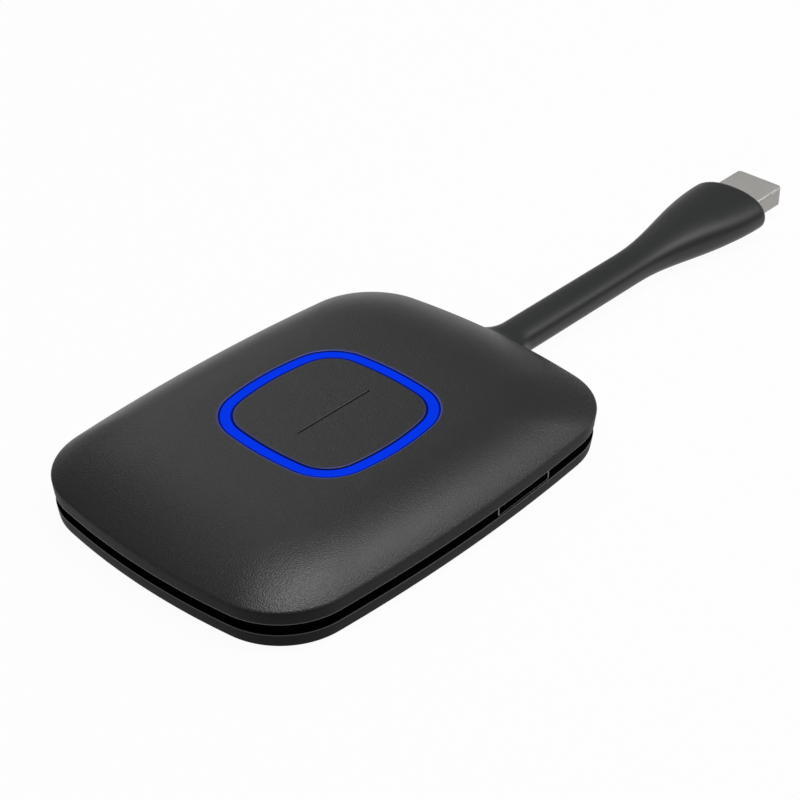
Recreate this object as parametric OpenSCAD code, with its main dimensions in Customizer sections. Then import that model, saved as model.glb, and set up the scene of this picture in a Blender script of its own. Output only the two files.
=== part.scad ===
// Pocket casting device: a flat rounded body with a lit ring round a large push button on top,
// a micro-USB socket in the groove round its side, and a short flat cable that ends in a USB-A plug.
// Millimetres. Z is up, Y runs from the body towards the plug, X to the side with the socket.
// The origin is under the middle of the body, on the surface that it stands on.

/* [Body outline] */
// Half width of the body at the lower edge of its cover
body_half_w = 35; // [33.5:0.5:38]
// Half length of the body at the lower edge of its cover
body_half_l = 47.1; // [45.5:0.5:51]
// Radius of the gentle bow of the two long sides
side_r = 362; // [280:10:460]
// Radius of the gentle bow of the two short ends
end_r = 144; // [120:4:180]
// Radius of the four corners
corner_r = 15; // [13.5:0.5:17]

/* [Body heights] */
// How far the feet stand out under the base
foot_proud = 0.4; // [0.3:0.1:0.7]
// Height of the side of the base
base_h = 2.9; // [2.8:0.1:3.3]
// Height of the open groove between base and cover
groove_h = 2.1; // [2:0.1:2.5]
// Height of the upright band of the cover
band_h = 2.9; // [2.8:0.1:3.6]
// Rise of the crown from the shoulder to the flat middle
crown_h = 5.3; // [5:0.1:6.5]
// How late the crown turns down: 2 is an even curve, more is flatter in the middle
crown_power = 3; // [2:0.25:4]

/* [Shells] */
// Thickness of the base's floor
floor_t = 1.6; // [1.4:0.1:1.8]
// Thickness of the cover's crown
roof_t = 1.6; // [1.4:0.1:1.8]
// Depth of the groove behind the edge of the cover
groove_d = 1.25; // [1.1:0.05:1.5]
// Thickness of the frame at the bottom of the groove
frame_t = 1; // [0.8:0.1:1.2]
// How far the frame reaches up inside the cover
frame_lap = 1.9; // [1.6:0.1:2.2]
// How much further in the base's upper edge stands than the cover's lower edge
base_inset = 0.1; // [0:0.05:0.3]
// How much the base draws in towards its bottom
base_draft = 0.4; // [0.2:0.1:0.8]
// Bevel round the bottom of the base
base_bevel = 0.3; // [0.2:0.05:0.5]
// How far the cover's band leans out at the shoulder
band_flare = 0.3; // [0.1:0.1:0.5]
// Gap between shells that fit into each other
fit = 0.05; // [0.04:0.01:0.08]

/* [Light ring] */
// Half width of the light ring
ring_half_w = 17.6; // [16.5:0.1:18.5]
// Half length of the light ring
ring_half_l = 18; // [17:0.1:19]
// Radius of the bow of the ring's left and right sides
ring_side_r = 54; // [48:2:70]
// Radius of the bow of the ring's front and back sides
ring_end_r = 64; // [54:2:80]
// Radius of the ring's corners
ring_corner_r = 9.9; // [9:0.5:11]
// Width of the ring as seen from above
ring_w = 2.5; // [2.2:0.1:3]
// How far the ring's face lies below the cover round it
ring_recess = 0.2; // [0.1:0.05:0.4]
// Width of the ring's hidden flange under the cover
ring_flange_w = 1.2; // [0.9:0.1:1.4]
// Thickness of that flange
ring_flange_t = 0.7; // [0.6:0.1:0.9]

/* [Push button] */
// Travel of the push button
travel = 0.5; // [0.3:0.1:0.6]
// Gap round the button
slide_gap = 0.12; // [0.1:0.01:0.2]
// Thickness of the button's top plate
button_t = 1.5; // [1.3:0.1:1.7]
// Thickness of the button's skirt
skirt_t = 1.2; // [1:0.1:1.4]
// How far the catch at the foot of the skirt stands out
catch_w = 0.9; // [0.7:0.1:1]
// Height of that catch
catch_h = 0.9; // [0.7:0.1:1.1]
// Length of the engraved mark on the button
mark_l = 18.8; // [14:0.2:22]
// Width of the engraved mark
mark_w = 0.3; // [0.2:0.05:0.5]
// Depth of the engraved mark
mark_d = 0.25; // [0.15:0.05:0.4]
// How far the mark lies right of the button's middle
mark_x = 0.9; // [0:0.1:1.5]
// How far the mark lies behind the button's middle
mark_y = 0.4; // [-1:0.1:1]

/* [Switch] */
// Side of the square push switch
switch_w = 6; // [5:0.5:6.5]
// Height of the push switch's body
switch_h = 3; // [2.8:0.1:3.2]
// Radius of the switch's plunger
plunger_r = 1.7; // [1.4:0.1:2]
// How far the plunger stands out of the switch at rest
plunger_up = 1; // [0.8:0.1:1.2]
// Outer radius of the silicone return collar
collar_r = 9.4; // [8.5:0.1:10.5]
// Wall of the silicone return collar
collar_t = 1.4; // [1.1:0.1:1.7]

/* [Circuit board] */
// Thickness of the circuit board
board_t = 1; // [0.8:0.1:1.2]
// Distance from the edge of the body in to the edge of the board
board_inset = 4; // [3.8:0.1:4.6]
// Side of the square processor
chip_w = 12; // [10:0.5:14]
// Thickness of the processor
chip_t = 1.2; // [1:0.1:1.4]
// Side of the heat spreader
spreader_w = 30; // [26:1:32]
// Thickness of the heat spreader
spreader_t = 0.8; // [0.6:0.1:1]
// Length of the shielded radio module
radio_l = 20; // [18:1:22]
// Width of the shielded radio module
radio_w = 14; // [12:0.5:15]
// Height of the shielded radio module
radio_h = 2.2; // [1.8:0.1:2.4]

/* [Socket] */
// Distance from the middle of the body to the middle of the socket
port_y = 14.6; // [8:0.1:16]
// Length of the opening in the groove
port_l = 15.1; // [12:0.1:15.6]
// Radius of the opening's corners
port_corner_r = 0.5; // [0.3:0.1:0.9]
// Width of the socket's metal shell
port_w = 7.8; // [7.4:0.1:8.2]
// Height of the socket's metal shell
port_h = 2.45; // [2.3:0.05:2.6]
// Depth of the socket
port_d = 5; // [4.6:0.1:5.6]
// Thickness of the bezel's ends
bezel_end_t = 0.35; // [0.2:0.05:0.6]
// Thickness of the bezel above and below the opening
bezel_t = 0.08; // [0.06:0.01:0.1]
// How far the bezel stands back from the side of the body
bezel_back = 0.3; // [0.1:0.05:0.6]

/* [Cable] */
// Width of the flat cable
cable_w = 8.24; // [7.6:0.1:8.6]
// Height of the flat cable
cable_h = 5.6; // [5.2:0.1:5.8]
// How far the middle of the cable lies below the cover's lower edge
cable_drop = 0.9; // [0.8:0.05:1]
// How far the flared boot stands out from the body
boot_l = 6.4; // [6:0.1:8]
// Radius of the boot's flare
boot_r = 6.2; // [6:0.1:7.5]
// Thickness of the boot and of the plug's grip where they run out on the cable
skin = 0.25; // [0.2:0.05:0.4]

/* [Plug] */
// Distance from the middle of the body to the tip of the plug
tip_y = 139; // [136:1:146]
// Width of the plug's metal shell
plug_w = 12; // [11.9:0.1:12.1]
// Height of the plug's metal shell
plug_h = 4.5; // [4.4:0.1:4.6]
// Length of the shell that stands out of the grip
plug_out = 10.7; // [9:0.1:12]
// Length of the shell that is hidden in the grip
plug_in = 7.9; // [6:0.1:8.5]
// Thickness of the shell's sheet metal
plug_t = 0.3; // [0.25:0.05:0.4]
// Length of the moulded grip
grip_l = 38.3; // [36:0.5:42]
// Width of the grip at its widest
grip_w = 18.8; // [17:0.2:20]
// Height of the grip at its thickest
grip_h = 9; // [8.4:0.1:9]
// Radius of the grip's end, seen from above
grip_end_r = 1.6; // [1:0.1:2.4]

/* [Screws and feet] */
// Distance in from the body's rounded corners to the screws that close the case
screw_in = 7.8; // [7.6:0.1:8.6]
// Direction of those screws from the middle of the corner's arc, in degrees from the X axis
screw_turn = 35; // [30:1:50]
// Radius of the case screws
screw_r = 0.97; // [0.8:0.01:1]
// Length of the case screws under the head
screw_l = 6; // [5:0.2:6.4]
// Radius of the case screws' heads
head_r = 1.8; // [1.6:0.1:2]
// Height of the case screws' heads
head_h = 1.3; // [1:0.1:1.4]
// Radius of the feet
foot_r = 4.5; // [4:0.1:5]
// Depth of the recess that holds each foot
foot_in = 0.6; // [0.5:0.1:0.8]

/* [Hidden] */

$fn = 48;
// Overrun of a cut past the face that it breaks
cut = 0.5;

// Levels, from the ground up
z_base = foot_proud;
z_rim = z_base + base_h;
z_seam = z_rim + groove_h;
z_shoulder = z_seam + band_h;
z_top = z_shoulder + crown_h;
z_floor = z_base + floor_t;
z_frame = z_seam + frame_lap;
z_groove = (z_rim + z_seam) / 2;
z_board = z_rim + port_h;
z_deck = z_board + board_t;
z_roof = z_top - roof_t;
z_ring = z_roof - ring_flange_t;
z_plate = z_top - button_t;
z_cable = z_seam - cable_drop;

// Outlines: half width, half length, bow of the long sides, bow of the ends, corner radius
body_shape = [body_half_w, body_half_l, side_r, end_r, corner_r];
ring_shape = [ring_half_w, ring_half_l, ring_side_r, ring_end_r, ring_corner_r];
side_steps = 4;
corner_steps = 8;

// Point where the circles of radius r round p and of radius s round q meet, left of the line pq
function meet(p, r, q, s) =
    let (v = q - p, d = norm(v), h = (r * r - s * s + d * d) / (2 * d), k = sqrt(r * r - h * h))
    p + v * h / d + [-v.y, v.x] * k / d;

function corner_of(shape) =
    meet([shape[0] - shape[2], 0], shape[2] - shape[4], [0, shape[1] - shape[3]], shape[3] - shape[4]);

function arc(c, r, from, to, steps) =
    [for (i = [0:steps]) let (t = from + (to - from) * i / steps) c + r * [cos(t), sin(t)]];

// One quarter of an outline that lies a distance inset inside the shape
function quarter(shape, inset) =
    let (p = [shape[0] - shape[2], 0], q = [0, shape[1] - shape[3]], c = corner_of(shape),
        t = atan2(c.y, c.x - p.x), u = atan2(c.y - q.y, c.x),
        side = arc(p, shape[2] - inset, 0, t, side_steps),
        bend = arc(c, shape[4] - inset, t, u, corner_steps),
        end = arc(q, shape[3] - inset, u, 90, side_steps))
    concat(side, [for (i = [1:corner_steps]) bend[i]], [for (i = [1:side_steps]) end[i]]);

function outline(shape, inset) =
    let (q = quarter(shape, inset), n = len(q) - 1)
    concat(q, [for (i = [n - 1:-1:0]) [-q[i].x, q[i].y]], [for (i = [1:n]) -q[i]],
        [for (i = [n - 1:-1:1]) [q[i].x, -q[i].y]]);

function lift(points, z) = [for (p = points) [p.x, p.y, z]];

// Skin over rings of points, each ring as long as the next: a closed tube, or one with end caps
module loft(rings, capped = true) {
    n = len(rings[0]);
    m = len(rings);
    walls = [for (j = [0:capped ? m - 2 : m - 1], i = [0:n - 1])
        let (a = j * n, b = ((j + 1) % m) * n, k = (i + 1) % n) each
            [[a + i, b + i, b + k], [a + i, b + k, a + k]]];
    caps = capped ? [[for (i = [0:n - 1]) i], [for (i = [n - 1:-1:0]) (m - 1) * n + i]] : [];
    polyhedron([for (r = rings) each r], concat(walls, caps));
}

// Upright wall or plate that follows a shape between two insets
module hoop(shape, outer, inner, z0, z1) {
    translate([0, 0, z0])
        linear_extrude(z1 - z0)
            difference() {
                polygon(outline(shape, outer));
                polygon(outline(shape, inner));
            }
}

module slab(shape, inset, z0, z1) {
    translate([0, 0, z0]) linear_extrude(z1 - z0) polygon(outline(shape, inset));
}

// Block with its middle at x, y, standing on z
module block(x, y, z, w, l, h) {
    translate([x - w / 2, y - l / 2, z]) cube([w, l, h]);
}

// Rectangle round the origin with rounded corners
module rounded_rect(w, h, r) {
    square([w - 2 * r, h], center = true);
    square([w, h - 2 * r], center = true);
    for (sx = [-1, 1], sy = [-1, 1]) translate([sx * (w / 2 - r), sy * (h / 2 - r)]) circle(r);
}

module four_corners(x, y) {
    for (sx = [-1, 1], sy = [-1, 1]) translate([sx * x, sy * y, 0]) children();
}

// Places of the case screws, which the feet cover
body_corner = corner_of(body_shape);
screw_x = body_corner.x + (corner_r - screw_in) * cos(screw_turn);
screw_y = body_corner.y + (corner_r - screw_in) * sin(screw_turn);
z_head = z_base + foot_in;
z_seat = z_head + fit + head_h;
boss_r = 2.6;
sleeve_r = 3.2;
sleeve_over = 1.4;
z_boss = z_seat + sleeve_over;
pilot_r = screw_r + 0.6 * fit;
pilot_over = 0.5;
hole_r = screw_r + 2 * fit;
pilot_depth = screw_l - sleeve_over + pilot_over;

// Places along the cable, from the rear wall inwards
cable_half_w = cable_w / 2;
cable_half_h = cable_h / 2;
oval_power = 2.65;
cable_sides = 12;
grip_sides = 32;

anchor_half_w = 7.5;
anchor_half_h = 3.3;
anchor_l = 2.5;
anchor_bow = anchor_half_w * anchor_half_w / (2 * end_r);
anchor_y = body_half_l - groove_d - frame_t - anchor_bow - fit - anchor_l / 2;
neck_half_w = 5.5;
neck_half_h = 3.2;
boot_end = body_half_l + boot_l;
boot_root = body_half_l + band_flare + fit;

clamp_l = 2.4;
clamp_post_r = 2;
clamp_y = anchor_y - anchor_l / 2 - clamp_post_r - 4 * fit;
clamp_side = 3.9;
clamp_x = cable_half_w + clamp_side;
clamp_t = 0.8;
clamp_pilot_r = 0.8;
clamp_over = 2.4;
z_clamp = z_cable + cable_half_h + fit;
cable_bare = 0.7;
cable_end = clamp_y - clamp_l / 2 - cable_bare;

// Cover
crown_shares = [1, 0.96, 0.91, 0.84, 0.76, 0.66, 0.54, 0.38, 0];
under_shares = [0, 0.15, 0.35, 0.6, 0.8, 1];
wall_inset = groove_d - fit;
inner_inset = groove_d + frame_t;

function crown_z(s) = z_shoulder + crown_h * (1 - pow(s, crown_power));
function blend(a, b, s) = [for (i = [0:len(a) - 1]) a[i] + (b[i] - a[i]) * s];

hole_line = outline(ring_shape, -fit);
shoulder_line = outline(body_shape, -band_flare);
inner_line = outline(body_shape, inner_inset);
inner_share = 1 - (inner_inset + band_flare) / (body_half_w - ring_half_w + band_flare);

module top_cover() {
    color([0.16, 0.16, 0.16]) difference() {
        union() {
            loft(concat([lift(outline(body_shape, 0), z_seam)],
                [for (s = crown_shares) lift(blend(hole_line, shoulder_line, s), crown_z(s))],
                [for (s = under_shares)
                    lift(blend(hole_line, inner_line, s), crown_z(s * inner_share) - roof_t)],
                [lift(inner_line, z_frame), lift(outline(body_shape, wall_inset), z_frame),
                lift(outline(body_shape, wall_inset), z_seam)]), capped = false);
            intersection() {
                four_corners(screw_x, screw_y)
                    translate([0, 0, z_boss]) cylinder(r = boss_r, h = z_top - z_boss);
                crown_fill();
            }
        }
        four_corners(screw_x, screw_y)
            translate([0, 0, z_boss - cut]) cylinder(r = pilot_r, h = cut + pilot_depth);
        neck_cut(z_seam - cut);
    }
}

// The space under the middle of the crown's thickness, which the bosses fill
module crown_fill() {
    loft(concat([lift(shoulder_line, z_floor)],
        [for (s = crown_shares) lift(blend(hole_line, shoulder_line, s), crown_z(s) - roof_t / 2)]));
}

// Notch through the body's rear wall for the neck of the boot
module neck_cut(z0) {
    block(0, body_half_l - groove_d, z0, 2 * (neck_half_w + fit),
        2 * (groove_d + frame_t + cut), z_cable + neck_half_h + fit - z0);
}

// Base, closed from below with four screws under the feet
base_line = outline(body_shape, base_inset);
base_foot_line = outline(body_shape, base_inset + base_draft);
base_bevel_line = outline(body_shape, base_inset + base_draft + base_bevel);
post_r = 2.4;
post_gap_x = 3;
post_gap_y = 6.1;
post_x = ring_half_w + post_gap_x;
post_y = ring_half_l + post_gap_y;
board_pilot_r = 0.8;
trough_floor = z_cable - cable_h / 2 - fit;

module base_cover() {
    color([0.15, 0.15, 0.15]) difference() {
        union() {
            loft([lift(base_bevel_line, z_base), lift(base_foot_line, z_base + base_bevel),
                lift(base_line, z_rim), lift(outline(body_shape, wall_inset), z_rim),
                lift(outline(body_shape, wall_inset), z_floor)]);
            four_corners(screw_x, screw_y)
                translate([0, 0, z_base + cut]) cylinder(r = sleeve_r, h = z_boss - z_base - cut);
            four_corners(post_x, post_y)
                translate([0, 0, z_base + cut]) cylinder(r = post_r, h = z_board - z_base - cut);
            for (s = [-1, 1]) translate([s * clamp_x, clamp_y, z_base + cut])
                cylinder(r = clamp_post_r, h = z_clamp - z_base - cut);
        }
        four_corners(screw_x, screw_y) {
            translate([0, 0, z_base - cut]) cylinder(r = foot_r, h = foot_in + cut);
            translate([0, 0, z_base - cut]) cylinder(r = head_r + fit, h = z_seat + cut - z_base);
            translate([0, 0, z_base]) cylinder(r = hole_r, h = z_boss + cut - z_base);
        }
        four_corners(post_x, post_y)
            translate([0, 0, z_floor]) cylinder(r = board_pilot_r, h = z_board + cut - z_floor);
        for (s = [-1, 1]) translate([s * clamp_x, clamp_y, z_floor])
            cylinder(r = clamp_pilot_r, h = z_clamp + cut - z_floor);
        // Trough for the cable and the deeper pocket for the boot's anchor
        block(0, (cable_end + body_half_l) / 2, trough_floor, cable_w + 2 * fit,
            body_half_l - cable_end + 2 * fit, z_cable - trough_floor);
        block(0, anchor_y, z_cable - anchor_half_h - fit, 2 * (anchor_half_w + fit),
            anchor_l + 2 * fit, z_cable);
        neck_cut(z_cable - neck_half_h - fit);
    }
}

// Frame at the bottom of the groove, with the socket's opening and the notch for the boot
pocket_d = 0.8;
pocket_wall = 1.2;
port_bow = port_y * port_y / (2 * side_r);
frame_x = body_half_w - groove_d - port_bow;

// Prism that runs inwards from x at the height of the groove, some way inside the socket's opening
module port_slot(x, depth, end_inset, inset) {
    translate([x, port_y, z_groove]) rotate([0, -90, 0]) linear_extrude(depth)
        rounded_rect(groove_h - 2 * inset, port_l - 2 * end_inset, port_corner_r - inset);
}

// Thin bezel that lines the opening and crosses the groove
module port_bezel() {
    reach = groove_d + port_bow + pocket_d / 2;
    color([0.3, 0.3, 0.3]) intersection() {
        difference() {
            port_slot(body_half_w, reach, fit, fit);
            port_slot(body_half_w + cut, reach + 2 * cut, fit + bezel_end_t, fit + bezel_t);
        }
        slab(body_shape, bezel_back, z_floor, z_frame);
    }
}

module mid_frame() {
    color([0.03, 0.03, 0.03]) difference() {
        union() {
            hoop(body_shape, groove_d, groove_d + frame_t, z_floor, z_frame);
            intersection() {
                block(frame_x - frame_t / 2 - pocket_wall / 2, port_y, z_floor,
                    frame_t + pocket_wall, port_l + 2 * pocket_wall, z_board - z_floor);
                slab(body_shape, groove_d, z_floor, z_frame);
            }
        }
        port_slot(body_half_w, groove_d + pocket_d + port_bow, 0, 0);
        block(frame_x, port_y, z_rim - fit, 2 * (frame_t + pocket_wall + cut),
            port_w + 2 * fit, port_h + 2 * fit);
        neck_cut(z_cable - neck_half_h - fit);
    }
}

// Lit ring, pushed into the cover from inside, and the parts that light it
module light_ring() {
    color([0.03, 0.2, 0.9]) {
        hoop(ring_shape, 0, ring_w, z_ring, z_top - ring_recess);
        hoop(ring_shape, -ring_flange_w, 0, z_ring, z_roof - fit);
    }
}

led_l = 1.6;
led_w = 0.8;
led_h = 0.65;
led_gap = 0.15;
sill_t = 0.45;
guide_in = 0.1;
guide_t = 1.3;
baffle_t = 1;
z_sill = z_deck + led_h + led_gap;
ring_corner = corner_of(ring_shape);
led_in = guide_in + guide_t / 2;
bend_reach = (ring_corner_r - led_in) / sqrt(2);
led_places = concat(
    [for (s = [-1, 1]) [s * (ring_half_w - led_in), 0, 90]],
    [for (s = [-1, 1]) [0, s * (ring_half_l - led_in), 0]],
    [for (sx = [-1, 1], sy = [-1, 1])
        [sx * (ring_corner.x + bend_reach), sy * (ring_corner.y + bend_reach), -45 * sx * sy]]);

module light_guide() {
    color([0.75, 0.82, 0.95]) hoop(ring_shape, guide_in, guide_in + guide_t, z_sill + sill_t, z_ring);
}

module light_baffle() {
    window_l = led_l + 0.8 * led_w;
    window_w = led_w + 0.6 * led_w;
    inner = guide_in + ring_w;
    color([0.05, 0.05, 0.05]) difference() {
        union() {
            hoop(ring_shape, -baffle_t, 0, z_deck, z_ring);
            hoop(ring_shape, -baffle_t / 2, inner + baffle_t / 2, z_sill, z_sill + sill_t);
            hoop(ring_shape, inner, inner + baffle_t, z_deck, z_sill + sill_t + baffle_t);
        }
        for (p = led_places) translate([p.x, p.y, 0]) rotate([0, 0, p.z])
            block(0, 0, z_sill - cut, window_l, window_w, sill_t + 2 * cut);
    }
}

module led_set() {
    color([0.9, 0.9, 0.8]) for (p = led_places)
        translate([p.x, p.y, 0]) rotate([0, 0, p.z]) block(0, 0, z_deck, led_l, led_w, led_h);
}

// Push button with its skirt, its catch under the ring and the rib that works the switch
button_inset = ring_w + slide_gap;
z_catch = z_ring - fit - catch_h;
z_plunger = z_deck + switch_h + plunger_up;

module push_button() {
    color([0.16, 0.16, 0.16]) {
        difference() {
            slab(ring_shape, button_inset, z_plate, z_top);
            block(mark_x, mark_y, z_top - mark_d, mark_w, mark_l, mark_d + cut);
        }
        hoop(ring_shape, button_inset, button_inset + skirt_t, z_catch, z_plate);
        hoop(ring_shape, button_inset - catch_w, button_inset, z_catch, z_catch + catch_h);
        translate([0, 0, z_plunger]) cylinder(r = plunger_r, h = z_plate - z_plunger);
    }
}

bore_over = 0.5;
plunger_in = bore_over + travel;

module switch_plunger() {
    color([0.35, 0.12, 0.1]) translate([0, 0, z_deck + switch_h - bore_over])
        cylinder(r = plunger_r, h = plunger_up + bore_over);
}

module tact_switch() {
    color([0.6, 0.6, 0.62]) difference() {
        block(0, 0, z_deck, switch_w, switch_w, switch_h);
        translate([0, 0, z_deck + switch_h - plunger_in - bore_over])
            cylinder(r = plunger_r + fit, h = plunger_in + bore_over + cut);
    }
}

module return_collar() {
    color([0.7, 0.7, 0.7]) translate([0, 0, z_deck]) difference() {
        cylinder(r = collar_r, h = z_plate - z_deck);
        translate([0, 0, -cut]) cylinder(r = collar_r - collar_t, h = z_plate - z_deck + 2 * cut);
    }
}

// Circuit board and what is soldered to it
board_gap = 0.6;
notch_half_w = 11.5;
cable_gap = 2.2;
board_rear = cable_end - cable_gap;
radio_y = -(ring_half_l + baffle_t + body_half_l - board_inset) / 2;
rear_y = (ring_half_l + baffle_t + board_rear) / 2;

module main_board() {
    color([0.02, 0.22, 0.12]) difference() {
        slab(body_shape, board_inset, z_board, z_deck);
        four_corners(screw_x, screw_y)
            translate([0, 0, z_board - cut]) cylinder(r = boss_r + board_gap, h = board_t + 2 * cut);
        four_corners(post_x, post_y)
            translate([0, 0, z_board - cut]) cylinder(r = board_pilot_r + fit, h = board_t + 2 * cut);
        block(0, board_rear + body_half_l / 2, z_board - cut, 2 * notch_half_w, body_half_l,
            board_t + 2 * cut);
    }
}

module processor() {
    color([0.1, 0.1, 0.11]) block(0, 0, z_board - chip_t, chip_w, chip_w, chip_t);
}

memory_w = 8;
memory_l = 10;
memory_t = 1;
memory_gap = 2;

module memory_chips() {
    memory_x = (chip_w + memory_w) / 2 + memory_gap;
    color([0.12, 0.12, 0.13]) for (s = [-1, 1])
        block(s * memory_x, 0, z_board - memory_t, memory_w, memory_l, memory_t);
}

crystal_w = 3.2;
crystal_l = 2.5;
crystal_h = 0.8;

module crystal() {
    color([0.75, 0.75, 0.73])
        block(0, chip_w / 2 + 2 * crystal_l, z_board - crystal_h, crystal_w, crystal_l, crystal_h);
}

regulator_w = 3;
regulator_h = 0.9;

module power_chips() {
    color([0.1, 0.1, 0.1]) for (i = [-1:1])
        block(2 * i * regulator_w, spreader_w / 2 + 2 * regulator_w, z_board - regulator_h,
            regulator_w, regulator_w, regulator_h);
}

coil_w = 6;
coil_h = 2.8;
coil_x = -2 * coil_w;

module power_inductor() {
    color([0.25, 0.25, 0.26]) difference() {
        block(coil_x, rear_y, z_deck, coil_w, coil_w, coil_h);
        for (s = [-1, 1], t = [-1, 1])
            translate([coil_x + s * coil_w / 2, rear_y + t * coil_w / 2, z_deck])
                rotate([0, 0, 45]) block(0, 0, -cut, coil_w / 4, coil_w / 4, coil_h + 2 * cut);
    }
}

cap_r = 1.6;
cap_h = 2.6;
cap_x = 10;
cap_pitch = 4.8;

module capacitors() {
    color([0.7, 0.6, 0.4]) for (i = [0:1], j = [-1, 1])
        translate([cap_x + cap_pitch * i, rear_y + cap_pitch * j / 2, z_deck])
            cylinder(r = cap_r, h = cap_h);
}

module radio_module() {
    color([0.78, 0.78, 0.76]) block(0, radio_y, z_deck, radio_l, radio_w, radio_h);
}

antenna_w = 2;
antenna_l = 8;
antenna_h = 1.2;
antenna_gap = 1.7;
antenna_y = board_inset + antenna_gap + antenna_l / 2 - body_half_l;

module antennas() {
    color([0.85, 0.83, 0.78]) for (s = [-1, 1])
        block(s * (radio_l / 2 + 2 * antenna_w), antenna_y, z_deck, antenna_w, antenna_l, antenna_h);
}

module heat_spreader() {
    color([0.75, 0.76, 0.78]) block(0, 0, z_floor, spreader_w, spreader_w, spreader_t);
}

module thermal_pad() {
    color([0.55, 0.6, 0.75]) block(0, 0, z_floor + spreader_t, chip_w, chip_w,
        z_board - chip_t - z_floor - spreader_t);
}

header_w = 8;
header_l = 4.5;
header_h = 2.4;
header_gap = 3.5;
header_y = board_rear - header_gap;

module cable_header() {
    color([0.9, 0.88, 0.8]) block(0, header_y, z_deck, header_w, header_l, header_h);
}

// Socket under the edge of the board
port_x = frame_x - frame_t / 2 - port_d;
port_chamfer = 0.6;
port_t = 0.25;

module port_section(inset) {
    w = port_w / 2 - inset;
    h = port_h / 2 - inset;
    polygon([[h, -w], [h, w], [-h + port_chamfer, w], [-h, w - port_chamfer],
        [-h, -w + port_chamfer], [-h + port_chamfer, -w]]);
}

module micro_usb_port() {
    color([0.7, 0.7, 0.7]) translate([port_x, port_y, z_board - port_h / 2]) rotate([0, 90, 0])
        mirror([1, 0, 0]) difference() {
            linear_extrude(port_d) port_section(0);
            translate([0, 0, port_t]) linear_extrude(port_d) port_section(port_t);
        }
}

tongue_w = 3.8;
tongue_t = 0.65;

module port_tongue() {
    color([0.05, 0.05, 0.05])
        block(port_x + (port_d - port_t) / 2, port_y, z_board - port_h / 2, port_d - 3 * port_t,
            tongue_w, tongue_t);
}

// Feet and screws
module feet() {
    color([0.1, 0.1, 0.1]) four_corners(screw_x, screw_y)
        cylinder(r = foot_r - fit, h = z_base + foot_in);
}

// Screw that points up from its seat, or down from it, with a slot across the head
module screw(shank_r, shank_l, top_r, top_h) {
    difference() {
        union() {
            cylinder(r = shank_r, h = shank_l);
            translate([0, 0, -top_h]) cylinder(r = top_r, h = top_h);
        }
        for (a = [0, 90]) rotate([0, 0, a])
            block(0, 0, -top_h - cut, top_r, top_r / 4, cut + top_h / 2);
    }
}

module case_screws() {
    color([0.5, 0.5, 0.52]) four_corners(screw_x, screw_y)
        translate([0, 0, z_seat]) screw(screw_r, screw_l, head_r, head_h);
}

small_r = 0.77;
small_l = 3.5;
small_head_r = 1.5;
small_head_h = 0.9;

module board_screws() {
    color([0.7, 0.7, 0.68]) four_corners(post_x, post_y)
        translate([0, 0, z_deck]) mirror([0, 0, 1]) screw(small_r, small_l, small_head_r, small_head_h);
}

// Cable with its boot, and the clamp that takes the pull
function oval(hw, hh, sides) = [for (i = [0:sides - 1])
    let (t = -360 * i / sides, c = cos(t), s = sin(t))
    [hw * sign(c) * pow(abs(c), 2 / oval_power), hh * sign(s) * pow(abs(s), 2 / oval_power)]];

function station(y, hw, hh, sides) = [for (p = oval(hw, hh, sides)) [p.x, y, z_cable + p.y]];

// The cable's route: its middle line, from the clamp inside the body to the crimp inside the grip
cable_route = [[0, 38, 4.5], [0, 48, 4.5], [0, 62, 4.5], [0, 79, 4.5], [0, 98, 4.5], [0, 118, 4.5]];

module cable() {
    color([0.17, 0.17, 0.17]) loft([for (p = cable_route)
        [for (q = oval(cable_half_w, cable_half_h, cable_sides)) p + [q.x, 0, q.y]]]);
}

// Hole that the cable fills, from one place along Y to another
module cable_bore(from, to) {
    loft([for (y = [from, to]) station(y, cable_half_w + fit, cable_half_h + fit, cable_sides)]);
}

boot_steps = 6;
boot_flat_share = 0.16;

module cable_boot() {
    start = boot_end - boot_root;
    color([0.17, 0.17, 0.17]) difference() {
        union() {
            loft([for (i = [0:boot_steps])
                let (y = boot_root + start * i / boot_steps, left = boot_end - y,
                    flare = left < boot_r ? boot_r - sqrt(boot_r * boot_r - left * left) : boot_r)
                station(y, cable_half_w + skin + flare,
                    cable_half_h + skin + boot_flat_share * flare, grip_sides)]);
            loft([for (y = [anchor_y, boot_root + fit]) station(y, neck_half_w, neck_half_h, grip_sides)]);
            block(0, anchor_y, z_cable - anchor_half_h, 2 * anchor_half_w, anchor_l, 2 * anchor_half_h);
        }
        cable_bore(anchor_y - anchor_l, boot_end + cut);
    }
}

module cable_clamp() {
    color([0.72, 0.72, 0.74]) difference() {
        block(0, clamp_y, z_clamp, 2 * (clamp_x + clamp_post_r), clamp_l, clamp_t);
        for (s = [-1, 1]) translate([s * clamp_x, clamp_y, z_clamp - cut])
            cylinder(r = clamp_pilot_r + fit, h = clamp_t + 2 * cut);
    }
}

module clamp_screws() {
    color([0.5, 0.5, 0.52]) for (s = [-1, 1]) translate([s * clamp_x, clamp_y, z_clamp + clamp_t])
        mirror([0, 0, 1]) screw(small_r, clamp_t + clamp_over, small_head_r, small_head_h);
}

// Wires from the cable's end up to the plug on the board, each a swept tube in a plane of fixed X
wire_r = 0.45;
wire_pitch = 1.6;
wire_z = z_deck + header_h / 2;
wire_up = (cable_end + board_rear) / 2;
wire_bend = 1.4 * wire_r;
wire_path = [[cable_route[0].y, z_cable], [wire_up + wire_bend, z_cable], [wire_up, z_cable + wire_bend],
    [wire_up, wire_z - wire_bend], [wire_up - wire_bend, wire_z], [header_y + header_l / 2, wire_z]];

function unit(v) = v / norm(v);

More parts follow.
